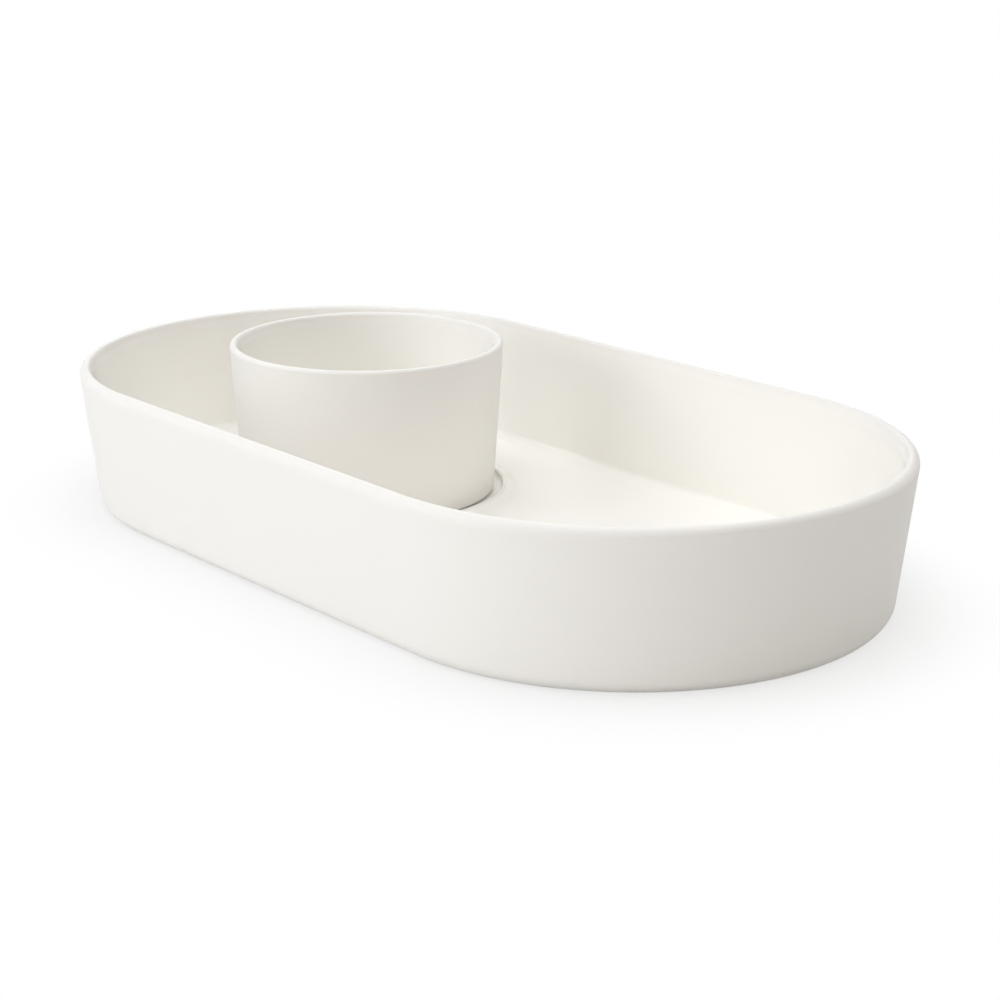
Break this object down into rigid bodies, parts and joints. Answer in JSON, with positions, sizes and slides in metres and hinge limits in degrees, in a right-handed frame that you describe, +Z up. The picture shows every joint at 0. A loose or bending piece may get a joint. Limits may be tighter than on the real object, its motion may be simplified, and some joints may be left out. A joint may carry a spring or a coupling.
{
  "type": "chip and dip bowl",
  "caption": "Long ceramic serving bowl with straight sides and round ends, with a loose round dip cup standing in a low ring on its floor, for chips and dip.",
  "frame": {"origin": "middle of the bowl's outline, on the table plane that its foot rim stands on", "axes": "+Z up, +X along the bowl from the dip cup's end to the chip end, +Y across the bowl"},
  "size_m": [0.3676, 0.1992, 0.0665],
  "materials": {
    "bowl_glaze": "warm white glaze, glossy inside and softly satin outside",
    "cup_glaze": "warm white glaze, glossy inside and softly satin outside"
  },
  "bodies": {
    "bowl": {"chip_bowl": "bowl_glaze"},
    "cup": {"dip_cup": "cup_glaze"}
  },
  "joints": [
    {"name": "cup_lift", "type": "slide", "parent": "bowl", "child": "cup", "axis": [0, 0, 1], "range_m": [0, 0.08]}
  ]
}
